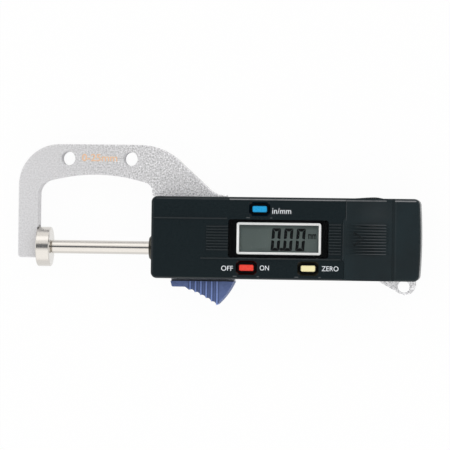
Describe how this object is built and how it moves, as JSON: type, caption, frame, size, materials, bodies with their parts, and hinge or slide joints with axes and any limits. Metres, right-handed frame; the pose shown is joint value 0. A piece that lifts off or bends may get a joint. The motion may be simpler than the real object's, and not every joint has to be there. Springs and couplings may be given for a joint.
{
  "type": "digital snap gauge",
  "caption": "Digital snap gauge: painted C-frame with an anvil, sprung spindle with a thumb trigger, and a black housing with a display and three buttons.",
  "frame": {"origin": "centre of the housing's flat back face, on which the gauge lies", "axes": "+X the way the spindle retracts, +Y up on the dial side, +Z out of the display"},
  "size_m": [0.1347, 0.053, 0.0169],
  "materials": {
    "casting_paint": "silver hammered paint on a die casting",
    "turned_steel": "turned and ground steel",
    "spindle_steel": "ground and polished steel",
    "blackened_steel": "blackened steel",
    "black_plastic": "fine moulded texture",
    "window_glass": "clear polished window",
    "white_plastic": "smooth white moulding",
    "lcd_glass": "grey-green display glass",
    "board": "green solder mask",
    "chip_black": "moulded chip",
    "strip_rubber": "conducting rubber",
    "blue_button": "smooth moulding",
    "red_button": "smooth moulding",
    "yellow_button": "smooth moulding",
    "blue_trigger": "fine moulded texture",
    "grey_plastic": "moulded",
    "cell_steel": "plated cell can",
    "contact_metal": "plated contact",
    "screw_steel": "plated screw",
    "scale_board": "patterned scale strip"
  },
  "bodies": {
    "gauge_body": {"frame": "casting_paint", "anvil": "turned_steel", "front_bush": "blackened_steel", "rear_bush": "blackened_steel", "guide_rod": "spindle_steel", "return_spring": "screw_steel", "rear_cover": "black_plastic", "cover_screws": "screw_steel", "front_housing": "black_plastic", "battery": "cell_steel", "battery_minus_contact": "contact_metal", "battery_plus_contact": "contact_metal", "display_window": "window_glass", "lcd_frame": "white_plastic", "lcd_panel": "lcd_glass", "upper_connector_strip": "strip_rubber", "lower_connector_strip": "strip_rubber", "circuit_board": "board", "board_screws": "screw_steel", "controller_chip": "chip_black", "unit_switch": "chip_black", "power_switch": "chip_black", "zero_switch": "chip_black", "data_connector": "chip_black"},
    "slider": {"spindle": "spindle_steel", "carriage": "grey_plastic", "spindle_set_screw": "screw_steel", "scale_strip": "scale_board", "thumb_trigger": "blue_trigger", "trigger_screws": "screw_steel"},
    "unit_button": {"unit_button": "blue_button"},
    "power_button": {"power_button": "red_button"},
    "zero_button": {"zero_button": "yellow_button"},
    "battery_cover": {"battery_cover": "black_plastic"},
    "port_cover": {"port_cover": "black_plastic"}
  },
  "joints": [
    {"name": "spindle_slide", "type": "slide", "parent": "gauge_body", "child": "slider", "axis": [1, 0, 0], "range_m": [0, 0.025], "stiffness_N_per_m": 40, "springref_m": -0.02, "deforming": ["return_spring"]},
    {"name": "unit_press", "type": "slide", "parent": "gauge_body", "child": "unit_button", "axis": [0, 0, -1], "range_m": [0, 0.0005], "stiffness_N_per_m": 400, "springref_m": -0.0002},
    {"name": "power_press", "type": "slide", "parent": "gauge_body", "child": "power_button", "axis": [0, 0, -1], "range_m": [0, 0.0005], "stiffness_N_per_m": 400, "springref_m": -0.0002},
    {"name": "zero_press", "type": "slide", "parent": "gauge_body", "child": "zero_button", "axis": [0, 0, -1], "range_m": [0, 0.0005], "stiffness_N_per_m": 400, "springref_m": -0.0002},
    {"name": "battery_cover_slide", "type": "slide", "parent": "gauge_body", "child": "battery_cover", "axis": [1, 0, 0], "range_m": [0, 0.027]},
    {"name": "port_cover_slide", "type": "slide", "parent": "gauge_body", "child": "port_cover", "axis": [-1, 0, 0], "range_m": [0, 0.01]}
  ]
}
